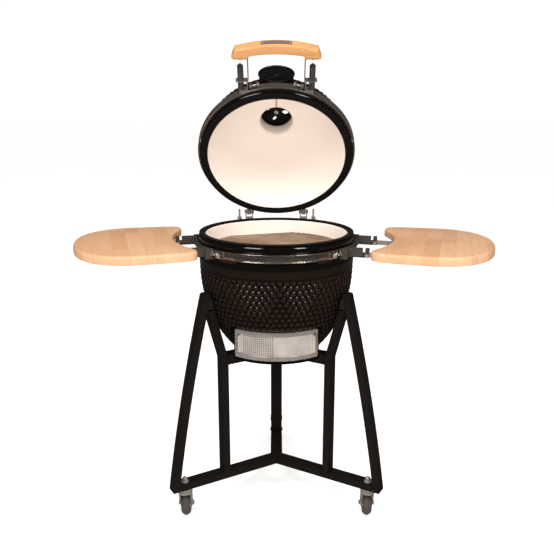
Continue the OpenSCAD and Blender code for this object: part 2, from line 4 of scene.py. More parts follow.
import bmesh
import bpy
import numpy as np
from mathutils import Matrix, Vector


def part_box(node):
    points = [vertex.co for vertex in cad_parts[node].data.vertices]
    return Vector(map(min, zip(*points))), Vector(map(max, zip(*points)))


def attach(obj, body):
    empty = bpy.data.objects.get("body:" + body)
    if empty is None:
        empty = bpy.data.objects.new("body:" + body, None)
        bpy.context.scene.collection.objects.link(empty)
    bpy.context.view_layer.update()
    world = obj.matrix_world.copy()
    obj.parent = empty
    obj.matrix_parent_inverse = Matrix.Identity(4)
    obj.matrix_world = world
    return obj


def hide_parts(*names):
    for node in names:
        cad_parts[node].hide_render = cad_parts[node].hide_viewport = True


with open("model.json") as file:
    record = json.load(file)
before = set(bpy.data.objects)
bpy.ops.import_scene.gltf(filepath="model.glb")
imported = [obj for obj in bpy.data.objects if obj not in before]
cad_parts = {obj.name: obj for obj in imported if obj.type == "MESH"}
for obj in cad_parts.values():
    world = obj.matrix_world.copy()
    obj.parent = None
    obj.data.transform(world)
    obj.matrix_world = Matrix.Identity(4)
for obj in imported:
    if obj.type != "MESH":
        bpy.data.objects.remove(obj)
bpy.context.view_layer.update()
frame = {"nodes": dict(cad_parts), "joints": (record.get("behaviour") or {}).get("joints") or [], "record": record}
record = frame["record"]
bodyOf = {node: body for body, members in record["behaviour"]["bodies"].items() for node in members}
slotOf = {row["node"]: row["material_slot"] for row in record["subparts"]}
print("frame loaded:", len(bodyOf), "nodes")

# The lid is drawn closed and turned open about its hinge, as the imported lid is
hinge = next(joint for joint in frame["joints"] if joint["name"] == "lid_hinge")
hingeAt = np.array(hinge["pos_m"])
lidOpen = math.radians(-hinge["range_deg"][0])


def opened(points):  # turns points by the lid's angle about the hinge line, which runs along X
    p = np.asarray(points, float) - hingeAt
    c, s = math.cos(lidOpen), math.sin(lidOpen)
    return np.stack([p[..., 0], p[..., 1] * c + p[..., 2] * s, p[..., 2] * c - p[..., 1] * s], -1) + hingeAt


def gridFaces(rows, cols, wrap=True, closed=False):  # the quads between neighbouring rows and columns
    i = np.arange(rows if closed else rows - 1)[:, None]
    j = np.arange(cols if wrap else cols - 1)[None, :]
    up, right = (i + 1) % rows, (j + 1) % cols
    return np.stack([i * cols + j, i * cols + right, up * cols + right, up * cols + j], -1)


def lathe(profile, count):  # each (radius, height) of the profile carried round the vertical axis
    profile = np.asarray(profile, float)
    turn = np.arange(count) * 2 * np.pi / count
    r, z = profile[:, :1], profile[:, 1:]
    return np.stack([r * np.sin(turn), -r * np.cos(turn), z + 0 * turn], -1)


def aim(points, at, along, across=(1, 0, 0)):  # moves points drawn about Z to a place, Z turned to a line
    z = np.array(along, float) / np.linalg.norm(along)
    x = np.array(across, float) - np.dot(across, z) * z
    x /= np.linalg.norm(x)
    return np.asarray(points, float) @ np.stack([x, np.cross(z, x), z]) + np.array(at, float)


def tube(path, radius, sides=10):  # a circle carried along a path, its plane square to the path at each point
    path = np.asarray(path, float)
    ahead = np.gradient(path, axis=0)
    ahead /= np.linalg.norm(ahead, axis=1)[:, None]
    side = np.cross(ahead, [0.03, 0.01, 1.0])
    side /= np.linalg.norm(side, axis=1)[:, None]
    over = np.cross(side, ahead)
    turn = (np.arange(sides) * 2 * np.pi / sides)[None, :, None]
    return path[:, None] + radius * (np.cos(turn) * side[:, None] + np.sin(turn) * over[:, None])


def capped(grid):  # the grid with its two end rows drawn in to their middles
    return np.concatenate([grid[:1].mean(1, keepdims=True) + 0 * grid[:1], grid,
                           grid[-1:].mean(1, keepdims=True) + 0 * grid[-1:]])


def piece(name, parts, paints, body, slot, stands=(), sharp=35, zones=None, thin=None):
    # Joins (points, faces) parts into one mesh, closes its seams and poles and turns its faces outward;
    # the optional per-point share says where the glaze gets painted brown highlight and painted reflection
    points = np.concatenate([np.reshape(p, (-1, 3)) for p, f in parts])
    starts = np.cumsum([0] + [np.reshape(p, (-1, 3)).shape[0] for p, f in parts])
    faces = []
    for (p, f), start in zip(parts, starts):
        faces += (np.reshape(f, (-1, f.shape[-1])) + start).tolist()
    mesh = bpy.data.meshes.new(name)
    mesh.from_pydata(points.tolist(), [], faces)
    for paint in paints:
        mesh.materials.append(paint)
    if zones is not None:
        mesh.polygons.foreach_set("material_index", np.asarray(zones, np.int32))
    if thin is not None:
        share = mesh.attributes.new("thin", "FLOAT", "POINT")
        share.data.foreach_set("value", np.ravel(thin).astype(np.float32))
    shell = bmesh.new()
    shell.from_mesh(mesh)
    bmesh.ops.remove_doubles(shell, verts=shell.verts, dist=2e-6)
    bmesh.ops.recalc_face_normals(shell, faces=shell.faces)
    shell.to_mesh(mesh)
    shell.free()
    mesh.polygons.foreach_set("use_smooth", np.ones(len(mesh.polygons), bool))
    mesh.set_sharp_from_angle(angle=math.radians(sharp))
    made = bpy.data.objects.new(name, mesh)
    bpy.context.scene.collection.objects.link(made)
    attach(made, body)
    if stands:
        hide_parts(*stands)
    return made


def dress(node, paint, round=0.0, steps=2):
    # A merged copy of a CAD node with softened edges and its own finish, standing for the node
    mesh = frame["nodes"][node].data.copy()
    mesh.materials.clear()
    mesh.materials.append(paint)
    shell = bmesh.new()
    shell.from_mesh(mesh)
    bmesh.ops.remove_doubles(shell, verts=shell.verts, dist=2e-6)
    shell.to_mesh(mesh)
    shell.free()
    if mesh.has_custom_normals:
        mesh.attributes.remove(mesh.attributes["custom_normal"])
    mesh.polygons.foreach_set("material_index", np.zeros(len(mesh.polygons), np.int32))
    mesh.polygons.foreach_set("use_smooth", np.ones(len(mesh.polygons), bool))
    mesh.set_sharp_from_angle(angle=math.radians(32))
    words = node.split("_")
    made = bpy.data.objects.new(words[0] + "".join(w.capitalize() for w in words[1:]), mesh)
    bpy.context.scene.collection.objects.link(made)
    if round:
        soft = made.modifiers.new("softEdges", "BEVEL")
        soft.width = round
        soft.segments = steps
        soft.limit_method = "ANGLE"
        soft.angle_limit = math.radians(35)
        soft.harden_normals = True
    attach(made, bodyOf[node])
    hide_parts(node)
    return made


class Wire:  # a socket whose sums and products add Math nodes
    def __init__(self, paint, socket):
        self.paint = paint
        self.socket = socket

    def __add__(self, other):
        return self.paint.calc("ADD", self, other)

    def __sub__(self, other):
        return self.paint.calc("SUBTRACT", self, other)

    def __mul__(self, other):
        return self.paint.calc("MULTIPLY", self, other)

    def __truediv__(self, other):
        return self.paint.calc("DIVIDE", self, other)


class Paint:  # a material, its node tree and the ways to add to it
    def __init__(self, name):
        self.material = bpy.data.materials.new(name)
        self.material.use_nodes = True
        self.tree = self.material.node_tree
        self.shader = self.tree.nodes["Principled BSDF"]

    def add(self, kind, settings=None, sockets=None, out=0):
        node = self.tree.nodes.new("ShaderNode" + kind)
        for key, value in (settings or {}).items():
            setattr(node, key, value)
        for key, value in (sockets or {}).items():
            self.plug(node.inputs[key], value)
        return Wire(self, node.outputs[out])

    def plug(self, socket, value):
        if isinstance(value, Wire):
            self.tree.links.new(value.socket, socket)
        else:
            socket.default_value = value

    def calc(self, operation, first, second=0.0):
        return self.add("Math", {"operation": operation}, {0: first, 1: second})

    def mix(self, share, first, second, how="MIX"):
        return self.add("Mix", {"data_type": "RGBA", "blend_type": how}, {0: share, 6: first, 7: second}, 2)

    def place(self, turn=(0, 0, 0), stretch=(1, 1, 1), shift=(0, 0, 0)):
        here = self.add("TexCoord", out=3)
        turned = self.add("Mapping", {}, {"Vector": here, "Rotation": turn, "Location": shift})
        return self.add("Mapping", {}, {"Vector": turned, "Scale": stretch})

    def noise(self, where, scale, detail=2.0, rough=0.5):
        return self.add("TexNoise", {}, {"Vector": where, "Scale": scale, "Detail": detail,
                                         "Roughness": rough})

    def spread(self, value, low, high, toLow, toHigh):  # a value's range moved to another, held at its ends
        return self.add("MapRange", {"clamp": True}, {0: value, 1: low, 2: high, 3: toLow, 4: toHigh})

    def set(self, height=None, depth=0.001, strength=0.5, **values):
        for key, value in values.items():
            self.plug(self.shader.inputs[key.replace("_", " ")], value)
        if height is not None:
            bump = self.add("Bump", {}, {"Height": height, "Distance": depth, "Strength": strength})
            self.plug(self.shader.inputs["Normal"], bump)
        return self.material


def rgb(r, g, b):  # a screen colour from 0 to 255 as the light values that a shader takes
    shares = [c / 255 for c in (r, g, b)]
    return tuple(float(((c + 0.055) / 1.055) ** 2.4 if c > 0.0404 else c / 12.92) for c in shares) + (1.0,)


lidTurn = (lidOpen, 0, 0)  # brings the opened lid's points back to where they lie with the lid shut


def glossyBlack():
    # A deep black glaze with a slight orange peel, with brown mixed in by a per-point share: painted highlight on
    # the stud tops and painted floor reflection below the collar
    p = Paint("glossyBlackGlaze")
    cloud = p.noise(p.place(), 18, 3)
    # the per-point share of painted brown highlight and painted reflection
    thin = p.add("Attribute", {"attribute_name": "thin"}, out=2)
    peel = p.noise(p.place(), 260, 2)
    return p.set(
        Base_Color=p.mix(p.spread(thin, 0.25, 1.0, 0.0, 1.0), p.mix(cloud, rgb(6, 5, 4), rgb(10, 8, 6)),
                         p.mix(cloud, rgb(31, 22, 17), rgb(39, 28, 21))),
        Roughness=p.spread(cloud, 0.3, 0.7, 0.04, 0.09), Specular_IOR_Level=0.4,
        height=peel, depth=0.0004, strength=0.12)


def creamGlaze():  # a warm off-white inner glaze with fine speckles
    p = Paint("creamGlaze")
    cloud = p.noise(p.place(), 7, 3)
    speck = p.add("TexVoronoi", {"feature": "F1"}, {"Vector": p.place(), "Scale": 260.0})
    dots = p.spread(speck, 0.10, 0.16, 1.0, 0.0) * p.spread(p.noise(p.place(), 40, 2), 0.56, 0.66, 0.0, 0.5)
    base = p.mix(cloud, rgb(249, 240, 232), rgb(245, 233, 223))
    return p.set(
        Base_Color=p.mix(dots, base, rgb(192, 170, 146)),
        Roughness=p.spread(cloud, 0.3, 0.7, 0.34, 0.46), Specular_IOR_Level=0.3,
        height=p.noise(p.place(), 120, 3), depth=0.0006, strength=0.15)


def bandSteel(name, turn, light, dark, metal):
    # Stainless strip, rolled along its length, so its fine lines run level round it
    p = Paint(name)
    lines = p.noise(p.place(turn, (3, 3, 900)), 1.0, 3, 0.6)
    smear = p.noise(p.place(turn, (6, 6, 30)), 1.0, 3)
    return p.set(
        Base_Color=p.mix(p.spread(lines, 0.35, 0.65, 0, 1), rgb(*dark), rgb(*light)),
        Roughness=p.spread(smear, 0.3, 0.7, 0.16, 0.30), Metallic=metal,
        height=lines, depth=0.00004, strength=0.06)


def sheetSteel(name, colour=(206, 197, 188), rough=0.24, metal=0.6):
    # Pressed stainless with fine scratches and faint smears
    p = Paint(name)
    lines = p.noise(p.place(stretch=(400, 400, 12)), 1.0, 2, 0.6)
    smear = p.noise(p.place(), 22, 3)
    darker = rgb(*(0.86 * c for c in colour))
    return p.set(
        Base_Color=p.mix(p.spread(smear, 0.3, 0.7, 0, 1), rgb(*colour), darker),
        Roughness=p.spread(smear * 0.6 + lines * 0.4, 0.3, 0.7, rough - 0.08, rough + 0.10), Metallic=metal,
        height=lines, depth=0.00005, strength=0.08)


def brightZinc():  # plated steel with a faint crystal flower and duller patches
    p = Paint("brightZinc")
    grains = p.add("TexVoronoi", {"feature": "F1"}, {"Vector": p.place(), "Scale": 420.0}, 1)
    dull = p.noise(p.place(), 60, 3)
    return p.set(
        Base_Color=p.mix(0.12, p.mix(dull, rgb(222, 214, 204), rgb(176, 167, 157)), grains, "SOFT_LIGHT"),
        Roughness=p.spread(dull, 0.3, 0.7, 0.16, 0.34), Metallic=0.7,
        height=dull, depth=0.0002, strength=0.2)


def frameBlack():  # satin powder coat with its fine pimpled skin
    p = Paint("frameBlack")
    skin = p.noise(p.place(), 900, 2)
    cloud = p.noise(p.place(), 14, 2)
    return p.set(
        Base_Color=p.mix(cloud, rgb(20, 16, 14), rgb(28, 22, 19)),
        Roughness=p.spread(skin, 0.3, 0.7, 0.34, 0.5), Specular_IOR_Level=0.22,
        height=skin, depth=0.00025, strength=0.35)


def castBlack(name, colour=(36, 33, 31), rough=0.5):  # sand-cast iron under matt black
    p = Paint(name)
    grain = p.noise(p.place(), 520, 4, 0.65)
    cloud = p.noise(p.place(), 30, 2)
    return p.set(
        Base_Color=p.mix(cloud, rgb(*colour), rgb(*(0.7 * c for c in colour))),
        Roughness=p.spread(grain, 0.3, 0.7, rough - 0.1, rough + 0.12), Specular_IOR_Level=0.2,
        height=grain, depth=0.0005, strength=0.4)


def feltBlack():  # woven heat-proof felt, its threads crossing and a little frayed
    p = Paint("feltBlack")
    threads = p.noise(p.place(stretch=(1400, 300, 900)), 1.0, 3, 0.7)
    fuzz = p.noise(p.place(), 700, 4, 0.7)
    return p.set(
        Base_Color=p.mix(fuzz, rgb(6, 5, 5), rgb(17, 14, 13)),
        Roughness=p.spread(fuzz, 0.3, 0.7, 0.7, 0.9), Specular_IOR_Level=0.25,
        height=threads + fuzz, depth=0.0006, strength=0.6)


def fireClay():  # bare buff fire clay, dusty and pitted, with painted shade making it dark below about 0.6 m, where the draft holes look in
    p = Paint("fireClay")
    # height drives painted shade: the clay turns dark below about 0.6 m
    height = p.add("SeparateXYZ", {}, {0: p.place()}, 2)
    cloud = p.noise(p.place(), 12, 4, 0.6)
    pits = p.noise(p.place(), 240, 4, 0.7)
    return p.set(
        Base_Color=p.mix(p.spread(height + cloud * 0.03, 0.60, 0.68, 0.0, 1.0), rgb(22, 19, 17),
                         p.mix(cloud, rgb(244, 226, 204), rgb(226, 202, 174))),
        Roughness=p.spread(pits, 0.3, 0.7, 0.75, 0.95),
        height=pits, depth=0.0008, strength=0.4)


def grillRods():  # brushed steel rods, browned by heat more at some places than at others
    p = Paint("grillRods")
    heat = p.noise(p.place(), 9, 3)
    lines = p.noise(p.place(stretch=(14, 500, 500)), 1.0, 2)
    return p.set(
        Base_Color=p.mix(p.spread(heat, 0.35, 0.65, 0, 1), rgb(176, 152, 130), rgb(138, 114, 94)),
        Roughness=p.spread(lines, 0.3, 0.7, 0.38, 0.55), Metallic=0.65,
        height=lines, depth=0.0002, strength=0.3)


def staveWood(name, turn, shift, width=0.041):
    # Glued staves: each has its own shade and length, with grain drawn out along it and thin dark joints
    p = Paint(name)
    at = p.add("SeparateXYZ", {}, {0: p.place(turn, shift=shift)})
    across, along, up = at, Wire(p, at.socket.node.outputs[1]), Wire(p, at.socket.node.outputs[2])
    stave = p.calc("FLOOR", across / width)
    step = p.add("TexWhiteNoise", {"noise_dimensions": "1D"}, {"W": stave})
    block = p.calc("FLOOR", along / 0.27 + step * 7.0)
    shade = p.add("TexWhiteNoise", {"noise_dimensions": "1D"}, {"W": stave * 3.7 + block * 11.3})
    seamA = p.calc("ABSOLUTE", p.calc("FRACT", across / width) - 0.5)
    seamB = p.calc("ABSOLUTE", p.calc("FRACT", along / 0.27 + step * 7.0) - 0.5)
    seam = p.calc("MAXIMUM", p.spread(seamA, 0.488, 0.5, 0.0, 1.0), p.spread(seamB, 0.4975, 0.5, 0.0, 1.0))
    own = p.add("CombineXYZ", {}, {0: across * 150.0 + shade * 60.0, 1: along * 9.0 + shade * 31.0,
                                   2: up * 60.0})
    grain = p.noise(own, 1.0, 5, 0.62)
    pores = p.noise(p.add("CombineXYZ", {}, {0: across * 900.0, 1: along * 50.0, 2: up * 400.0}), 1.0, 2, 0.6)
    broad = p.add("CombineXYZ", {}, {0: across * 30.0 + shade * 9.0, 1: along * 3.0, 2: up * 20.0})
    wave = p.noise(broad, 1.0, 2)
    tone = p.mix(shade, rgb(214, 175, 142), rgb(198, 154, 119))
    tone = p.mix(p.spread(grain, 0.35, 0.7, 0.0, 0.55), tone, rgb(186, 138, 98))
    tone = p.mix(p.spread(wave, 0.45, 0.75, 0.0, 0.45), tone, rgb(206, 156, 112))
    tone = p.mix(p.spread(pores, 0.60, 0.72, 0.0, 0.35), tone, rgb(160, 104, 60))
    tone = p.mix(seam * 0.6, tone, rgb(158, 102, 60))
    return p.set(
        Base_Color=tone, Roughness=p.spread(grain, 0.3, 0.7, 0.26, 0.4),
        Coat_Weight=0.12, Coat_Roughness=0.2, Specular_IOR_Level=0.3,
        height=grain * 0.6 + pores * 0.4 - seam * 0.6, depth=0.0003, strength=0.3)


def gripWood():  # one piece of the same wood, its grain running along the handle
    p = Paint("gripWood")
    where = p.place(lidTurn, (7, 90, 60))
    grain = p.noise(where, 1.0, 5, 0.6)
    pores = p.noise(p.place(lidTurn, (60, 900, 700)), 1.0, 2)
    tone = p.mix(p.spread(grain, 0.3, 0.72, 0.0, 1.0), rgb(198, 147, 98), rgb(180, 126, 78))
    tone = p.mix(p.spread(pores, 0.6, 0.72, 0.0, 0.4), tone, rgb(180, 120, 68))
    return p.set(
        Base_Color=tone, Roughness=p.spread(grain, 0.3, 0.7, 0.28, 0.42),
        Coat_Weight=0.1, Coat_Roughness=0.2, Specular_IOR_Level=0.3,
        height=grain * 0.6 + pores * 0.4, depth=0.0003, strength=0.3)


def plainSkin(name, colour, second, rough, scale, depth=0.0002, metallic=0.0, strength=0.3):
    # A moulded or painted skin whose colour and gloss drift a little, over a fine pimpled texture
    p = Paint(name)
    drift = p.noise(p.place(), scale, 3)
    skin = p.noise(p.place(), scale * 22, 2)
    return p.set(
        Base_Color=p.mix(drift, rgb(*colour), rgb(*second)),
        Roughness=p.spread(drift * 0.5 + skin * 0.5, 0.3, 0.7, rough - 0.06, rough + 0.08), Metallic=metallic,
        height=skin, depth=depth, strength=strength)


def clearGlass():  # thin gauge glass with a trace of dust
    p = Paint("clearGlass")
    dust = p.noise(p.place(), 90, 3)
    return p.set(
        Base_Color=rgb(12, 12, 12), Alpha=p.spread(dust, 0.3, 0.7, 0.34, 0.42),
        Roughness=p.spread(dust, 0.3, 0.7, 0.02, 0.08), IOR=1.52)


black, cream = glossyBlack(), creamGlaze()
baseSteel = bandSteel("bandSteelBase", (0, 0, 0), (186, 172, 160), (150, 137, 126), 0.96)
# painted shade: the lid band is the same stainless as the base band, given darker colours
lidSteelShaded = bandSteel("bandSteelLidShaded", lidTurn, (134, 124, 118), (118, 108, 101), 0.8)
plate, zinc = sheetSteel("sheetSteel"), brightZinc()
paint, castIron, felt, clay = frameBlack(), castBlack("castIron"), feltBlack(), fireClay()
print("finishes made")


ceramic = {
    "rim": 0.233, "rimZ": 0.860, "baseZ": 0.505, "wall": 0.024,
    "shoulderZ": 0.765, "deep": 0.310,              # the ellipse below the widest level
    "lidZ": 0.866, "dome": 0.215, "power": 2.3,     # the superellipse above the lid's rim
    "neck": 0.066, "neckTop": 1.098, "flue": 0.051, "flare": 0.008, "flareHigh": 0.013,
    "studs": 76, "perStud": 6, "studPitch": 0.0155, "studDeep": 0.0042, "proud": 0.0006,
    "boss": 0.1775, "bossHalf": 0.1245, "bossTop": 0.607, "windowHalf": 0.096,
    "windowLow": 0.534, "windowHigh": 0.586}


def evenly(points, count):  # a line's points moved to equal steps along it
    points = np.asarray(points, float)
    run = np.concatenate([[0], np.cumsum(np.linalg.norm(np.diff(points, axis=0), axis=1))])
    at = np.linspace(0, run[-1], count)
    return np.stack([np.interp(at, run, points[:, k]) for k in range(2)], -1), run[-1]


def studHeight(turn, run, pitch, count):
    # Staggered domes: the root of one minus the squared distance from the nearest stud's middle
    row = np.floor(run / pitch)
    u = turn * count / (2 * np.pi) + 0.5 * (row % 2)
    du, dv = 2 * (u - np.round(u)), 2 * (run / pitch - row - 0.5)
    far = np.sqrt(du ** 2 + dv ** 2)
    return np.sqrt(np.maximum(1 - far ** 2, 0))


def studded(profile, run, pitch, count, cols, deep, proud):
    # A lathed wall whose points are moved along the wall's own normal by the stud height
    grid = lathe(profile, cols)
    turn = np.arange(cols) * 2 * np.pi / cols
    slope = np.gradient(profile, axis=0)
    slope /= np.linalg.norm(slope, axis=1)[:, None]
    outR, outZ = slope[:, 1:], -slope[:, :1]
    flip = np.where(outR + 0 * outZ < -0.2, -1, 1)
    move = studHeight(turn[None, :], run[:, None], pitch, count) * deep - deep + proud
    fade = np.clip(np.minimum(run, run[-1] - run) / (0.35 * pitch), 0, 1)[:, None]
    move = move * fade
    return grid + np.stack([move * outR * flip * np.sin(turn), -move * outR * flip * np.cos(turn),
                            move * outZ * flip + 0 * turn], -1)


def makeBowl():
    # An upright profile from the foot's middle over the outside and rim to the floor's middle, carried round;
    # the front is drawn in to the draft frame's cylinder and the draft way is cut through both walls
    v = ceramic
    cols = v["studs"] * v["perStud"]
    turn = np.arange(cols) * 2 * np.pi / cols
    a = v["rim"] - 0.004
    low = math.asin((v["shoulderZ"] - v["baseZ"]) / v["deep"])
    t = np.linspace(low, 0, 400)
    side = np.stack([a * np.cos(t), v["shoulderZ"] - v["deep"] * np.sin(t)], -1)
    length = evenly(side, 2)[1]
    rows = int(length / v["studPitch"])
    pitch = length / rows
    wall, _ = evenly(side, rows * v["perStud"] + 1)
    run = np.linspace(0, length, len(wall))
    outer = studded(wall, run, pitch, v["studs"], cols, v["studDeep"], v["proud"])
    front = np.cos(turn) > 0
    inBoss = front[None, :] & (np.abs(v["boss"] * np.sin(turn))[None, :] < v["bossHalf"]) & \
        (wall[:, 1:] < v["bossTop"])
    flat = np.stack([v["boss"] * np.sin(turn) + 0 * wall[:, 1:], -v["boss"] * np.cos(turn) + 0 * wall[:, 1:],
                     wall[:, 1:] + 0 * turn], -1)
    outer = np.where(inBoss[..., None], flat, outer)
    foot = lathe([(0, v["baseZ"]), (0.06, v["baseZ"]), (0.105, v["baseZ"]), (0.118, v["baseZ"] + 0.0)], cols)
    top = lathe([(0.2293, 0.768), (0.2297, 0.776), (0.2300, 0.784), (0.2306, 0.7885), (0.2320, 0.7912),
                 (0.2328, 0.794), (0.2330, 0.798), (0.2328, 0.802), (0.2322, 0.806), (0.2312, 0.810),
                 (0.2298, 0.813), (0.2292, 0.816), (0.2292, 0.836), (0.2312, 0.839), (0.2322, 0.842),
                 (0.2325, 0.846), (0.2320, 0.850), (0.2306, 0.854), (0.2284, 0.857), (0.2254, 0.8592),
                 (0.2220, 0.860), (0.2160, 0.860), (0.2128, 0.8592), (0.2108, 0.8575)], cols)
    lips = [(0.2095, 0.8550), (0.2086, 0.850), (0.2072, 0.82), (0.2060, 0.79)]
    ai, bi = a - v["wall"], v["deep"] - v["wall"]
    floor = v["baseZ"] + v["wall"]
    inWall = wall[(wall[:, 1] > floor + 0.002)][::-1, 1]
    beside = (inWall > v["windowLow"] - 0.004) & (inWall < v["windowHigh"] + 0.004)
    inWall = inWall[beside | (np.arange(len(inWall)) % 3 == 0)]
    inside = [(ai * math.sqrt(max(0, 1 - ((v["shoulderZ"] - z) / bi) ** 2)), z) for z in [*inWall, floor]]
    inner = lathe(lips + inside + [(0.07, floor), (0, floor)], cols)
    grid = np.concatenate([foot, outer, top, inner])
    thin = np.zeros(grid.shape[:2])
    topFrom = len(foot) + len(outer)
    # painted highlight: brown on the stud tops, fading to black in the valleys between them
    thin[len(foot):topFrom] = studHeight(turn[None, :], run[:, None], pitch, v["studs"]) * ~inBoss
    # painted floor reflection: brown on the strip just below the collar
    thin[topFrom:topFrom + 4] = 0.55
    faces = gridFaces(len(grid), cols)
    topAt = len(foot) + len(outer) + len(top)
    zones = np.zeros(faces.shape[:2], int)
    zones[topAt - 1:] = 1
    # the draft way: the same columns and heights in both walls, and four strips between their edges
    inWindow = np.where(front & (np.abs(v["boss"] * np.sin(turn)) < v["windowHalf"]))[0]
    columns = np.concatenate([inWindow[inWindow > cols // 2], inWindow[inWindow <= cols // 2]])
    near = np.where((wall[:, 1] > v["windowLow"]) & (wall[:, 1] < v["windowHigh"]))[0]
    outRows = len(foot) + near
    inRows = topAt + len(lips) + np.array([int(np.argmin(np.abs(inWall - wall[k, 1]))) for k in near])
    keep = np.ones(faces.shape[:2], bool)
    keep[np.ix_(outRows[:-1], columns[:-1])] = False
    keep[np.ix_(inRows[::-1][:-1], columns[:-1])] = False
    zones = zones[keep]
    faces = faces[keep]
    edge = np.concatenate([[(r, columns[0]) for r in range(len(near))],
                           [(len(near) - 1, c) for c in columns[1:]],
                           [(r, columns[-1]) for r in range(len(near) - 2, -1, -1)],
                           [(0, c) for c in columns[-2:0:-1]]])
    outLoop = outRows[edge[:, 0]] * cols + edge[:, 1]
    inLoop = inRows[edge[:, 0]] * cols + edge[:, 1]
    strip = np.stack([outLoop, np.roll(outLoop, -1), np.roll(inLoop, -1), inLoop], -1)
    faces = np.concatenate([faces, strip])
    zones = np.concatenate([zones, np.zeros(len(strip), int)])
    piece("ceramicBowl", [(grid, faces)], [black, cream], "stand_and_bowl", "glazed_ceramic", ["base_bowl"],
          sharp=60, zones=zones, thin=thin)
    print("bowl made:", len(faces), "faces")


def domeLine(radius, height, low, high, count):  # a superellipse's points from one angle to another
    t = np.linspace(math.radians(low), math.radians(high), count)
    k = 2 / ceramic["power"]
    return np.stack([radius * np.cos(t) ** k, ceramic["lidZ"] + height * np.sin(t) ** k], -1)


def makeDome():
    # The lid's closed outline, carried round: up its outside to the neck, down the flue, out over its inside
    v = ceramic
    cols = v["studs"] * v["perStud"]
    z = v["lidZ"]
    skirt = lathe([(0.2105, z), (0.2255, z), (0.2290, z + 0.001), (0.2318, z + 0.0035), (0.2328, z + 0.007),
                   (0.2328, z + 0.012), (0.2312, z + 0.015), (0.2306, z + 0.018), (0.2306, z + 0.034),
                   (0.2312, z + 0.039), (0.2322, z + 0.042), (0.2322, z + 0.045), (0.2308, z + 0.048),
                   (0.2300, z + 0.052)], cols)
    outline = domeLine(v["rim"] - 0.002, v["dome"], 11, 89, 800)
    outline = outline[(outline[:, 1] > z + 0.055)]
    lower = outline[outline[:, 0] > 0.128]
    tight = outline[(outline[:, 0] < 0.124) & (outline[:, 0] > 0.076)]
    walls, reliefs = [], []
    turn = np.arange(cols) * 2 * np.pi / cols
    for part, count in ((lower, v["studs"]), (tight, v["studs"] // 2)):
        length = evenly(part, 2)[1]
        rows = max(1, int(length / v["studPitch"]))
        line, length = evenly(part, rows * v["perStud"] + 1)
        run = np.linspace(0, length, len(line))
        walls.append(studded(line, run, length / rows, count, cols, v["studDeep"], v["proud"]))
        reliefs.append(studHeight(turn[None, :], run[:, None], length / rows, count))
    neckFoot = float(np.interp(0.076, outline[::-1, 0], outline[::-1, 1]))
    neck = lathe([(0.0715, neckFoot + 0.0015), (0.0680, neckFoot + 0.0045), (0.0664, neckFoot + 0.009),
                  (v["neck"], v["neckTop"] - 0.004), (v["neck"] - 0.0012, v["neckTop"] - 0.0012),
                  (v["neck"] - 0.004, v["neckTop"]), (v["flue"] + 0.003, v["neckTop"]),
                  (v["flue"] + 0.0008, v["neckTop"] - 0.0008), (v["flue"], v["neckTop"] - 0.003)], cols)
    inside = domeLine(v["rim"] - v["wall"] - 0.0025, v["dome"] - 0.030, 2, 89.5, 600)
    wide = v["flue"] + v["flare"]
    mouth = float(np.interp(wide, inside[::-1, 0], inside[::-1, 1]))
    inside = inside[inside[:, 0] > wide][::-1]
    inside = evenly(inside, 48)[0]
    bend = np.linspace(0, 80, 9) * math.pi / 180
    flue = [(v["flue"], mouth + 0.03)] + [(wide - v["flare"] * math.cos(a),
                                           mouth + 0.0004 + v["flareHigh"] * (1 - math.sin(a))) for a in bend]
    under = [(0.2068, z + 0.006), (0.2082, z + 0.0022)]
    inner = lathe(flue + inside.tolist() + under, cols)
    grid = np.concatenate([skirt, *walls, neck, inner])
    thin = np.zeros(grid.shape[:2])
    # painted highlight: brown on the stud tops, fading to black in the valleys between them
    thin[len(skirt):len(skirt) + sum(len(w) for w in walls)] = np.concatenate(reliefs)
    faces = gridFaces(len(grid), cols, closed=True)
    zones = np.zeros(faces.shape[:2], int)
    zones[len(grid) - len(inner) - 1:-1] = 1
    piece("domeLid", [(opened(grid), faces)], [black, cream], "lid", "glazed_ceramic", ["dome_lid"],
          sharp=60, zones=zones.ravel(), thin=thin)
    print("dome made:", faces.shape[0] * faces.shape[1], "faces")


makeBowl()
makeDome()


band = {"high": 0.024, "inside": 0.2332, "face": 0.2362, "lip": 0.2387, "roll": 0.0017, "segments": 288,
        "baseZ": 0.814, "lidZ": 0.880, "earAt": (0.006, -0.009), "earOut": 0.017, "earThick": 0.003,
        "baseEars": 43, "lidEars": 14.5}


def bandLine(z0):  # the band's section: a flat strip with a round bead rolled along each edge
    v = band
    half = np.linspace(-90, 90, 9) * math.pi / 180
    r = v["lip"] - v["roll"]
    low = [(r + v["roll"] * math.cos(a), z0 + v["roll"] + v["roll"] * math.sin(a)) for a in half]
    top = [(x, 2 * z0 + v["high"] - z) for x, z in low[::-1]]
    line = [(v["inside"], z0)] + low + [(v["face"] + 0.0004, z0 + 2 * v["roll"] + 0.0004),
                                        (v["face"], z0 + 2 * v["roll"] + 0.001)]
    line += [(v["face"], z0 + v["high"] / 2)]
    line += [(v["face"], z0 + v["high"] - 2 * v["roll"] - 0.001),
             (v["face"] + 0.0004, z0 + v["high"] - 2 * v["roll"] - 0.0004)]
    return line + top + [(v["inside"], z0 + v["high"])]


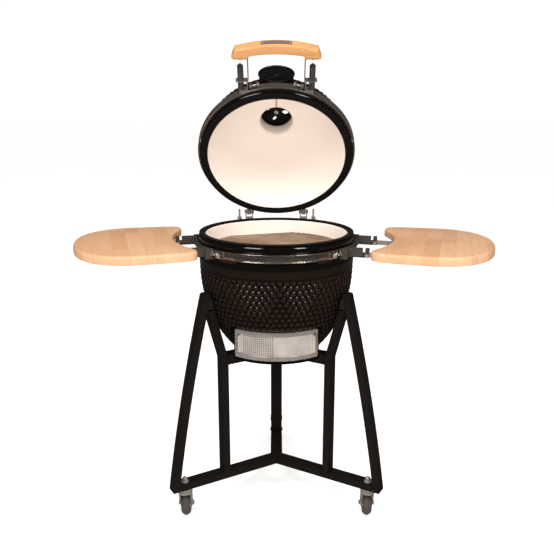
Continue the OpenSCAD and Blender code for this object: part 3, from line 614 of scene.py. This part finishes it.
def earPlate(z0, at, azimuth):  # one ear: a rounded plate standing out from the band, square to its run
    v = band
    half, thick = v["high"] / 2 - 0.002, v["earThick"] / 2
    corner = np.linspace(0, 90, 6) * math.pi / 180
    far = v["earOut"] - 0.004
    shape = [(0, -half)] + [(far + 0.004 * math.sin(a), -half + 0.004 - 0.004 * math.cos(a)) for a in corner]
    shape += [(far + 0.004 * math.cos(a), half - 0.004 + 0.004 * math.sin(a)) for a in corner] + [(0, half)]
    shape = np.array(shape)
    rings = []
    for x, inset in ((-thick, 0.0006), (-thick + 0.0006, 0), (thick - 0.0006, 0), (thick, 0.0006)):
        out = v["face"] - 0.001 + shape[:, 0] - inset * (shape[:, 0] > 0)
        rings.append(np.stack([at + v["earThick"] / 2 + x + 0 * out, -out, z0 + v["high"] / 2 + shape[:, 1] *
                               (1 - inset / half)], -1))
    grid = capped(np.array(rings))
    a = math.radians(azimuth)
    turn = np.array([[math.cos(a), math.sin(a), 0], [-math.sin(a), math.cos(a), 0], [0, 0, 1]])
    return grid @ turn


def makeBand(name, z0, azimuth, steel, body, node, place):
    ring = lathe(bandLine(z0), band["segments"])
    parts = [(place(ring), gridFaces(len(ring), band["segments"], closed=True))]
    for side in (-1, 1):
        for at in band["earAt"]:
            ear = earPlate(z0, at, side * azimuth)
            parts.append((place(ear), gridFaces(*ear.shape[:2])))
    piece(name, parts, [steel], body, "band_steel", [node])


makeBand("baseBand", band["baseZ"], band["baseEars"], baseSteel, "stand_and_bowl", "base_band", lambda p: p)
makeBand("lidBand", band["lidZ"], band["lidEars"], lidSteelShaded, "lid", "lid_band", opened)


tables = {"turn": 15, "z": 0.853, "thick": 0.024, "rightOut": 0.041, "mid": 0.418, "end": 0.583,
          "half": 0.214, "notch": 0.306, "tip": 0.196,
          "roundTop": 0.008, "roundUnder": 0.004, "soften": 0.009, "count": 420}


def boardOutline():
    # The outer end is a superellipse; the inner edge is an arc about the bowl; the corners are worn round
    v = tables
    t = np.radians(np.linspace(0, 180, 181))
    end = np.stack([v["mid"] + (v["end"] - v["mid"]) * np.abs(np.sin(t)) ** (2 / 2.25),
                    v["half"] * np.sign(np.cos(t)) * np.abs(np.cos(t)) ** (2 / 2.25)], -1)
    tip = [(v["mid"] - 0.08, -v["half"] + 0.003), (0.280, -v["tip"] - 0.007), (0.264, -v["tip"] + 0.006)]
    a = np.linspace(-math.asin(0.158 / v["notch"]), math.asin(0.158 / v["notch"]), 60)
    arc = np.stack([v["notch"] * np.cos(a), v["notch"] * np.sin(a)], -1)
    line = np.concatenate([end, tip, arc, [(x, -y) for x, y in tip[::-1]]])
    line = np.concatenate([line, line[:1]])
    line = evenly(line, v["count"] + 1)[0][:-1]
    step = np.linalg.norm(line[1] - line[0])
    reach = int(3 * v["soften"] / step)
    weight = np.exp(-0.5 * (np.arange(-reach, reach + 1) * step / v["soften"]) ** 2)
    weight /= weight.sum()
    return sum(w * np.roll(line, k, axis=0) for w, k in zip(weight, range(-reach, reach + 1)))


def makeBoard(name, mirror, out, wood, body, node):
    v = tables
    line = boardOutline()
    ahead = np.roll(line, -1, axis=0) - np.roll(line, 1, axis=0)
    ahead /= np.linalg.norm(ahead, axis=1)[:, None]
    inward = np.stack([ahead[:, 1], -ahead[:, 0]], -1)
    if np.sum((line.mean(0) - line) * inward) < 0:
        inward = -inward
    low, top = v["z"] - v["thick"], v["z"]
    quarter = np.linspace(0, 90, 8) * math.pi / 180
    under, over = v["roundUnder"], v["roundTop"]
    rings = [(under * (1 - math.sin(a)), low + under * (1 - math.cos(a))) for a in quarter]
    rings += [(over * (1 - math.cos(a)), top - over * (1 - math.sin(a))) for a in quarter]
    grid = np.array([np.concatenate([line + inward * d, np.full((len(line), 1), z)], 1) for d, z in rings])
    grid[..., 0] += out
    a = math.radians(-v["turn"])
    x = grid[..., 0] * math.cos(a) - grid[..., 1] * math.sin(a)
    y = grid[..., 0] * math.sin(a) + grid[..., 1] * math.cos(a)
    grid = np.stack([-x if mirror else x, y, grid[..., 2]], -1)
    count = len(line)
    sides = gridFaces(len(rings), count).reshape(-1, 4)
    face = np.arange(count)[None, :]
    piece(name, [(grid, sides), (grid[:1], face), (grid[-1:], face)],
          [wood], body, "rubberwood", [node], sharp=40)


turnIn = math.radians(tables["turn"])
leftWood = staveWood("staveWoodLeft", (0, 0, -turnIn), (0.52, 0.1, 0.0))
rightWood = staveWood("staveWoodRight", (0, 0, turnIn), (0.013, 0.07, 0.0))
makeBoard("leftBoard", True, 0, leftWood, "left_side_table", "left_table")
makeBoard("rightBoard", False, tables["rightOut"], rightWood, "right_side_table", "right_table")
print("tables made")


grip = {"long": 0.242, "back": 0.323, "bow": 0.017, "deep": 0.028, "high": 0.033, "z": 0.892, "taper": 0.008,
        "round": 0.0055, "padIn": 0.075, "padOut": 0.117, "padAt": 0.3255, "boltX": 0.098}


def gripBack(x):  # the arc that the grip's back follows, bowed away from the lid in the middle
    v = grip
    arc = ((v["long"] / 2) ** 2 + v["bow"] ** 2) / (2 * v["bow"])
    return -v["back"] - v["bow"] + arc - np.sqrt(arc ** 2 - x ** 2)


def makeGrip():
    # A rounded rectangle carried along the arc, its ends cut aslant and eased
    v = grip
    along = np.concatenate([[-1.0, -0.992, -0.975], np.linspace(-0.95, 0.95, 77), [0.975, 0.992, 1.0]])
    ease = np.concatenate([[0.0042, 0.0016, 0.0003], np.zeros(77), [0.0003, 0.0016, 0.0042]])
    corner = np.linspace(0, 90, 6) * math.pi / 180
    halfY, halfZ, r = v["deep"] / 2, v["high"] / 2, v["round"]
    section = []
    for k, (sy, sz) in enumerate([(1, 1), (-1, 1), (-1, -1), (1, -1)]):
        for a in corner if k % 2 == 0 else corner[::-1]:
            section.append((sy * (halfY - r + r * math.cos(a)), sz * (halfZ - r + r * math.sin(a))))
    section = np.array(section)
    deepAt = (halfY - section[:, 0]) / v["deep"]
    x = along[:, None] * (v["long"] / 2 - v["taper"] * deepAt[None, :])
    back = np.minimum(gripBack(along * v["long"] / 2), -v["padAt"])[:, None]
    far = np.abs(x)
    pad = np.clip((far - v["padIn"] + 0.001) / 0.003, 0, 1)
    pad = pad * np.clip((v["padOut"] + 0.001 - far) / 0.003, 0, 1)
    lift = (-v["padAt"] - back) * pad * (deepAt < 0.3)
    shrink = 1 - ease[:, None] / halfZ
    middle = back - halfY
    y = middle + section[None, :, 0] * shrink + lift
    z = v["z"] + section[None, :, 1] * shrink
    grid = capped(np.stack([x, y, z + 0 * x], -1))
    piece("handleGrip", [(opened(grid), gridFaces(*grid.shape[:2]))], [gripWood()], "lid", "rubberwood",
          ["handle_grip"], sharp=50)


def makeLabel():
    # A thin plate bent to the grip's front, with a pin at each end
    v = grip
    u = np.linspace(-1, 1, 25)
    corner = np.array([(0.0, -1), (1.0, -1), (1.0, 1), (0.0, 1)])
    x = u[:, None] * 0.041 + 0 * corner[None, :, 0]
    front = gripBack(x) - v["deep"]
    y = front + 0.0004 - 0.0015 * corner[None, :, 0]
    grid = capped(np.stack([x, y, v["z"] + 0.008 * corner[None, :, 1] + 0 * x], -1))
    parts = [(opened(grid), gridFaces(*grid.shape[:2]))]
    for side in (-1, 1):
        dome = lathe([(0.0026, 0), (0.0024, 0.0008), (0.0017, 0.0014), (0.0, 0.0017)], 16)
        at = (side * 0.036, float(gripBack(np.array(0.036))) - v["deep"] - 0.0009, v["z"])
        parts.append((opened(aim(dome, at, (0, -1, 0))), gridFaces(4, 16)))
    zones = np.repeat([0, 1, 1], [f.shape[0] * f.shape[1] for _, f in parts])
    labelPaint = plainSkin("labelPlate", (124, 108, 100), (108, 94, 87), 0.42, 60, metallic=0.3)
    piece("labelPlate", parts, [labelPaint, zinc], "lid", "label_metal", ["label_plate"], zones=zones)


makeGrip()
makeLabel()
sleeve = plainSkin("postSleeve", (62, 58, 56), (44, 41, 40), 0.42, 30)
dress("handle_posts", sleeve, 0.0008)
dress("handle_brackets", sheetSteel("strapSteel", (152, 142, 136), 0.3), 0.0005)
dress("handle_bolts", zinc, 0.0005)
dress("lid_band_bolts", zinc, 0.0005)
print("handle made")


gaugeBlack = plainSkin("gaugeBlack", (14, 12, 11), (22, 20, 18), 0.36, 40)
gaugeFace = plainSkin("gaugeFace", (14, 13, 13), (9, 9, 9), 0.6, 30)
gaugeMark = plainSkin("gaugeMark", (84, 82, 78), (70, 68, 65), 0.5, 60)
gaugeBand = plainSkin("gaugeBand", (70, 48, 30), (60, 40, 26), 0.5, 60)
gauge = {"at": (0, -0.2305, 0.961), "tilt": 7, "r": 0.053, "marks": 28, "sweep": 270}


def atGauge(points):
    tilt = math.radians(gauge["tilt"])
    return opened(aim(points, gauge["at"], (0, -math.cos(tilt), math.sin(tilt))))


def makeGauge():
    # The bezel is a rolled ring on a drum; the dial carries raised marks round three quarters of a turn
    r = gauge["r"]
    roll = np.linspace(-60, 200, 14) * math.pi / 180
    bead = [(r - 0.0028 + 0.0028 * math.cos(a), -0.0008 + 0.0028 * math.sin(a)) for a in roll]
    ring = lathe([(r - 0.0045, -0.0034)] + [(r - 0.0010, -0.0034)] + bead + [(r - 0.0058, -0.0015)], 128)
    piece("gaugeBezel", [(atGauge(ring), gridFaces(len(ring), 128, closed=True))], [gaugeBlack], "lid",
          "gauge_glass")
    glass = lathe([(0, -0.0010)] + [(r * k / 8, -0.0010 - 0.0006 * (k / 8) ** 2) for k in range(1, 8)] +
                  [(r - 0.0062, -0.0017), (r - 0.0062, -0.0024), (0, -0.0024)], 96)
    piece("gaugeGlass", [(atGauge(glass), gridFaces(len(glass), 96))], [clearGlass()], "lid", "gauge_glass",
          ["thermometer_glass"])
    face = lathe([(0.0041, -0.008), (r - 0.0062, -0.008), (r - 0.0062, -0.0066), (r - 0.0068, -0.0062),
                  (0.0041, -0.0062)], 96)
    parts = [(atGauge(face), gridFaces(len(face), 96, closed=True))]
    counts = [parts[0][1].reshape(-1, 4).shape[0]]
    box = np.array([[-1, -1], [1, -1], [1, 1], [-1, 1]], float)
    for k in range(gauge["marks"]):
        long = k % 3 == 0
        a = math.radians(225 - gauge["sweep"] * k / (gauge["marks"] - 1))
        mid, half = r - (0.0125 if long else 0.0112), (0.0034 if long else 0.0020)
        wide = 0.0007 if long else 0.0004
        flat = np.stack([mid + half * box[:, 0], wide * box[:, 1]], -1)
        turned = np.stack([flat[:, 0] * math.cos(a) - flat[:, 1] * math.sin(a),
                           flat[:, 0] * math.sin(a) + flat[:, 1] * math.cos(a)], -1)
        bar = capped(np.stack([np.concatenate([turned, np.full((4, 1), z)], 1) for z in (-0.0063, -0.0059)]))
        parts.append((atGauge(bar), gridFaces(*bar.shape[:2])))
        counts.append(12)
    a = np.radians(np.linspace(45, -20, 40))
    arc = np.stack([np.stack([q * np.cos(a), q * np.sin(a), np.full(40, z)], -1)
                    for q, z in ((r - 0.0085, -0.0063), (r - 0.0085, -0.0059), (r - 0.0072, -0.0059),
                                 (r - 0.0072, -0.0063))], 1)
    arc = capped(arc)
    parts.append((atGauge(arc), gridFaces(*arc.shape[:2])))
    counts.append(arc.shape[0] * 4 - 4)
    zones = np.repeat([0] + [1] * gauge["marks"] + [2], counts)
    piece("gaugeDial", parts, [gaugeFace, gaugeMark, gaugeBand], "lid", "gauge_dial", ["thermometer_dial"],
          zones=zones)


makeGauge()
dress("thermometer_case", gaugeBlack, 0.0008)
dress("thermometer_probe", plate, 0.0006)
dress("thermometer_needle", plainSkin("needleWhite", (92, 90, 86), (80, 78, 75), 0.4, 60), 0.0003)
print("thermometer made")


spring = {"x": 0.122, "y": 0.226, "z": 0.816, "coilZ": 0.826, "turns": 8.5, "coil": 0.0068, "wire": 0.0013,
          "pitch": 0.0041, "rod": 0.003}


def makeSprings():
    # A rod with a nut at each end, and a wire wound round it at an even pitch
    v = spring
    parts, counts = [], []
    for side in (-1, 1):
        at = np.array([side * v["x"], v["y"], 0])
        a = np.linspace(0, v["turns"] * 2 * np.pi, 210)
        rise = v["coilZ"] + v["pitch"] * a / (2 * np.pi)
        path = np.stack([v["coil"] * np.cos(a), v["coil"] * np.sin(a), rise], -1)
        coil = capped(tube(path + at, v["wire"], 8))
        rod = lathe([(0, v["z"]), (v["rod"], v["z"]), (v["rod"], v["z"] + 0.0745),
                     (v["rod"] - 0.0008, v["z"] + 0.076), (0, v["z"] + 0.076)], 24) + at
        parts += [(coil, gridFaces(*coil.shape[:2])), (rod, gridFaces(*rod.shape[:2]))]
        for low, high in ((v["z"], v["z"] + 0.005), (v["coilZ"] + 0.0355, v["coilZ"] + 0.0410)):
            nut = lathe([(0, low), (0.0060, low), (0.0069, low + 0.0007), (0.0069, high - 0.0007),
                         (0.0060, high), (0, high)], 6) + at
            parts.append((nut, gridFaces(*nut.shape[:2])))
        cup = lathe([(0, v["coilZ"] + 0.0345), (0.0085, v["coilZ"] + 0.0345), (0.0085, v["coilZ"] + 0.0357),
                     (0, v["coilZ"] + 0.0357)], 32) + at
        parts.append((cup, gridFaces(*cup.shape[:2])))
    piece("hingeSprings", parts, [zinc], "stand_and_bowl", "zinc_hardware", ["hinge_springs"])


makeSprings()
dress("hinge_lower_brackets", plate, 0.0007)
dress("hinge_upper_brackets", plate, 0.0007)
dress("hinge_pins", zinc, 0.0005)
dress("band_bolts", zinc, 0.0005)


dress("base_gasket", felt, 0.0008)
dress("lid_gasket", felt, 0.0008)
dress("fire_box", clay, 0.003)
dress("fire_ring", clay, 0.003)
dress("charcoal_grate", castIron, 0.001)
dress("cooking_grate", grillRods(), 0)
# soot-black cast iron for the damper; the same finish is painted shade on the draft screen's hole walls
sootBlackAndHoleShade = castBlack("sootBlackAndHoleShade", (24, 22, 20), 0.78)
dress("damper_base", sootBlackAndHoleShade, 0.001)
dress("damper_disc", sootBlackAndHoleShade, 0.001)
dress("damper_knob", zinc, 0.0008)


doorSteel = sheetSteel("doorSteel", (232, 222, 214), 0.2, 0.55)
frameSteel = sheetSteel("draftSteel", (226, 216, 208), 0.2, 0.74)


draft = {"r": 0.1865, "half": 0.1316, "low": 0.5172, "high": 0.6028, "corner": 0.0085, "back": 0.1779,
         "sheet": 0.0014, "rail": 0.013, "seat": 0.017, "bead": 0.0026}


def makeDraftFrame():
    # A channel section carried round a rounded rectangle, then bent about the bowl's axis;
    # each of its points keeps its own distance in from the outline and its own radius
    v = draft
    out, low = v["r"] - 0.0006, v["r"] - v["sheet"] - 0.0006
    section = [(0, v["back"]), (0, out - 0.0016), (0.0003, out - 0.0006), (0.0012, out),
               (v["rail"] - v["bead"], out),
               (v["rail"] - 0.75 * v["bead"], v["r"] - 0.0001), (v["rail"] - 0.4 * v["bead"], v["r"]),
               (v["rail"] - 0.1 * v["bead"], v["r"] - 0.0003), (v["rail"], out - 0.0004), (v["rail"], low),
               (v["sheet"], low), (v["sheet"], v["back"] + v["sheet"]), (v["seat"], v["back"] + v["sheet"]),
               (v["seat"], v["back"])]
    quarter = np.linspace(0, 90, 9) * math.pi / 180
    middle, tall = (v["low"] + v["high"]) / 2, (v["high"] - v["low"]) / 2
    rings = []
    for inset, radius in section:
        corner = max(v["corner"] - inset, 0.0008)
        wide, up = v["half"] - inset - corner, tall - inset - corner
        loop = []
        for k, (sx, sz) in enumerate([(1, 1), (-1, 1), (-1, -1), (1, -1)]):
            a = quarter + k * math.pi / 2
            loop.append(np.stack([sx * wide + corner * np.cos(a), sz * up + corner * np.sin(a)], -1))
            far = [-sx * wide, sz * up + sz * corner] if k % 2 == 0 else [sx * (wide + corner), -sz * up]
            run = np.linspace(loop[-1][-1], far, 26 if k % 2 == 0 else 5)[1:-1]
            loop.append(run)
        loop = np.concatenate(loop)
        turn = loop[:, 0] / v["r"]
        rings.append(np.stack([radius * np.sin(turn), -radius * np.cos(turn), middle + loop[:, 1]], -1))
    grid = np.array(rings)
    piece("draftFrame", [(grid, gridFaces(*grid.shape[:2], closed=True))], [frameSteel], "stand_and_bowl",
          slotOf["draft_frame"], ["draft_frame"], sharp=40)


makeDraftFrame()
dress("draft_screws", zinc, 0.0005)
dress("draft_door", doorSteel, 0.0004)


def darkenHoles(made, finish, largest=1.5e-6):
    # Paints shade on the punched holes' walls: small faces that stand square to the radius get a dark finish of
    # their own
    mesh = made.data
    mesh.materials.append(finish)
    count = len(mesh.polygons)
    middles, normals, areas = np.zeros(count * 3), np.zeros(count * 3), np.zeros(count)
    mesh.polygons.foreach_get("center", middles)
    mesh.polygons.foreach_get("normal", normals)
    mesh.polygons.foreach_get("area", areas)
    out = middles.reshape(-1, 3)[:, :2]
    out = out / np.linalg.norm(out, axis=1)[:, None]
    square = np.abs(np.sum(out * normals.reshape(-1, 3)[:, :2], axis=1)) < 0.5
    mesh.polygons.foreach_set("material_index", (square & (areas < largest)).astype(np.int32))


# painted shade: the screen's hole walls get the dark soot-black finish
darkenHoles(dress("draft_screen", doorSteel, 0), sootBlackAndHoleShade)


for node in ("lower_star", "upper_star", "leg_left", "leg_right", "leg_rear", "strut_left", "strut_right",
             "strut_rear"):
    dress(node, paint, 0.0022, 3)
dress("leg_caps", plainSkin("capPlastic", (24, 22, 21), (34, 31, 29), 0.45, 40), 0.0006)
dress("bowl_pads", plainSkin("padRubber", (26, 24, 23), (36, 33, 31), 0.7, 40), 0.0008)
dress("caster_nuts", zinc, 0.0005)
for side in ("left", "right", "rear"):
    dress("caster_fork_" + side, zinc, 0.0008)
armIron = castBlack("armIron", (70, 62, 56), 0.4)
dress("left_table_arms", armIron, 0.001)
dress("right_table_arms", armIron, 0.001)
dress("table_pins", zinc, 0.0005)
dress("left_table_bars", zinc, 0.0008)
dress("right_table_bars", zinc, 0.0008)

wheel = {"r": 0.0375, "wide": 0.027, "hub": 0.0145, "bore": 0.00405, "treadAt": 0.025}
tyreGrey = plainSkin("tyreGrey", (80, 72, 68), (62, 56, 53), 0.55, 60)
hubGrey = plainSkin("hubGrey", (150, 146, 142), (128, 124, 120), 0.35, 60)


def makeWheel(side):
    # The tyre is a rounded tread on a web; the hub is a stepped boss with a bearing cover at each face
    v = wheel
    low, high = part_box("caster_wheel_" + side)
    middle = (np.array(low) + np.array(high)) / 2
    half = v["wide"] / 2
    arc = np.linspace(-90, 90, 15) * math.pi / 180
    tread = [(v["r"] - 0.009 + 0.009 * math.cos(a), half * 0.30 * math.sin(a) + half * 0.68 * np.sign(a) *
              abs(math.sin(a)) ** 3) for a in arc]
    tyre = lathe([(v["treadAt"], -half + 0.001)] + [(v["treadAt"] + 0.001, -half)] + tread +
                 [(v["treadAt"] + 0.001, half), (v["treadAt"], half - 0.001)], 96)
    web = [(v["bore"], -v["hub"]), (0.0095, -v["hub"]), (0.011, -v["hub"] + 0.001), (0.0112, -0.0095),
           (0.0125, -0.0082), (0.0225, -0.0075), (0.0246, -0.0088), (v["treadAt"], -0.0115)]
    web += [(r, -z) for r, z in web[::-1]]
    hub = lathe(web, 96)
    for name, grid, skin in (("tyre", tyre, tyreGrey), ("wheelHub", hub, hubGrey)):
        place = aim(grid, middle, (1, 0, 0), (0, 0, 1))
        piece(name + side.capitalize(), [(place, gridFaces(len(grid), 96, closed=True))], [skin],
              "wheel_" + side, "wheel_rubber", ["caster_wheel_" + side] if name == "tyre" else ())


for side in ("left", "right", "rear"):
    makeWheel(side)
print("stand and casters made")


studio = {"lens": 43.08, "sensor": 36, "eye": (0, -1.9503, 1.2215), "down": 14.47, "shift": 0.00108}


def makeStudio():
    v = studio
    scene = bpy.context.scene
    camera = bpy.data.cameras.new("camera")
    camera.lens = v["lens"]
    camera.sensor_width = v["sensor"]
    camera.shift_x = v["shift"]
    eye = bpy.data.objects.new("camera", camera)
    eye.location = v["eye"]
    eye.rotation_euler = (math.radians(90 - v["down"]), 0, 0)
    scene.collection.objects.link(eye)
    scene.camera = eye

    mesh = bpy.data.meshes.new("floor")
    step = np.linspace(-40, 40, 9)
    east, north = np.meshgrid(step, step)
    grid = np.stack([east, north, 0 * east], -1)
    mesh.from_pydata(grid.reshape(-1, 3).tolist(), [], gridFaces(9, 9, wrap=False).reshape(-1, 4).tolist())
    floor = bpy.data.objects.new("floor", mesh)
    p = Paint("paleFloor")
    mesh.materials.append(p.set(Base_Color=rgb(250, 250, 250), Roughness=0.8, Specular_IOR_Level=0.0,
                                Emission_Color=(1, 1, 1, 1), Emission_Strength=0.37))
    floor.visible_glossy = False
    scene.collection.objects.link(floor)

    world = bpy.data.worlds.new("studio")
    scene.world = world
    world.use_nodes = True
    tree = world.node_tree
    back = tree.nodes["Background"]
    path = tree.nodes.new("ShaderNodeLightPath")
    # Mirror-like reflections see a dim room and everything else a bright one
    shine = tree.nodes.new("ShaderNodeMix")
    shine.inputs[2].default_value = 0.66
    shine.inputs[3].default_value = 0.05
    # The room itself is seen as plain white
    seen = tree.nodes.new("ShaderNodeMix")
    seen.inputs[3].default_value = 1.06
    tree.links.new(path.outputs["Is Glossy Ray"], shine.inputs[0])
    tree.links.new(path.outputs["Is Camera Ray"], seen.inputs[0])
    tree.links.new(shine.outputs[0], seen.inputs[2])
    tree.links.new(seen.outputs[0], back.inputs["Strength"])
    back.inputs["Color"].default_value = (1.0, 0.99, 0.975, 1)

    for name, azimuth, lift, far, size, power, tint, mirrored in (
            ("leftBox", -37, 40, 2.4, (0.85, 0.7), 26, (1, 0.97, 0.93), True),
            ("rightBox", 38, 40, 2.4, (0.5, 0.7), 20, (1, 0.97, 0.93), True),
            ("frontFill", 0, 12, 2.8, (2.6, 1.6), 30, (1, 0.98, 0.95), False),
            ("topBox", 0, 84, 2.6, (2.2, 2.2), 34, (1, 0.98, 0.95), False)):
        lamp = bpy.data.lights.new(name, "AREA")
        lamp.shape = "RECTANGLE"
        lamp.size, lamp.size_y = size
        lamp.energy = power
        lamp.color = tint
        a, e = math.radians(azimuth), math.radians(lift)
        away = np.array([math.sin(a) * math.cos(e), -math.cos(a) * math.cos(e), math.sin(e)])
        box = bpy.data.objects.new(name, lamp)
        target = np.array([0, 0, 0.85])
        at = target + far * away
        side = np.array([math.cos(a), math.sin(a), 0])
        up = np.cross(away, side)
        box.matrix_world = Matrix([[side[k], up[k], away[k], at[k]] for k in range(3)] + [[0, 0, 0, 1]])
        box.visible_glossy = mirrored
        scene.collection.objects.link(box)
    scene.view_settings.view_transform = "Standard"
    scene.view_settings.look = "None"


makeStudio()
print("studio made")
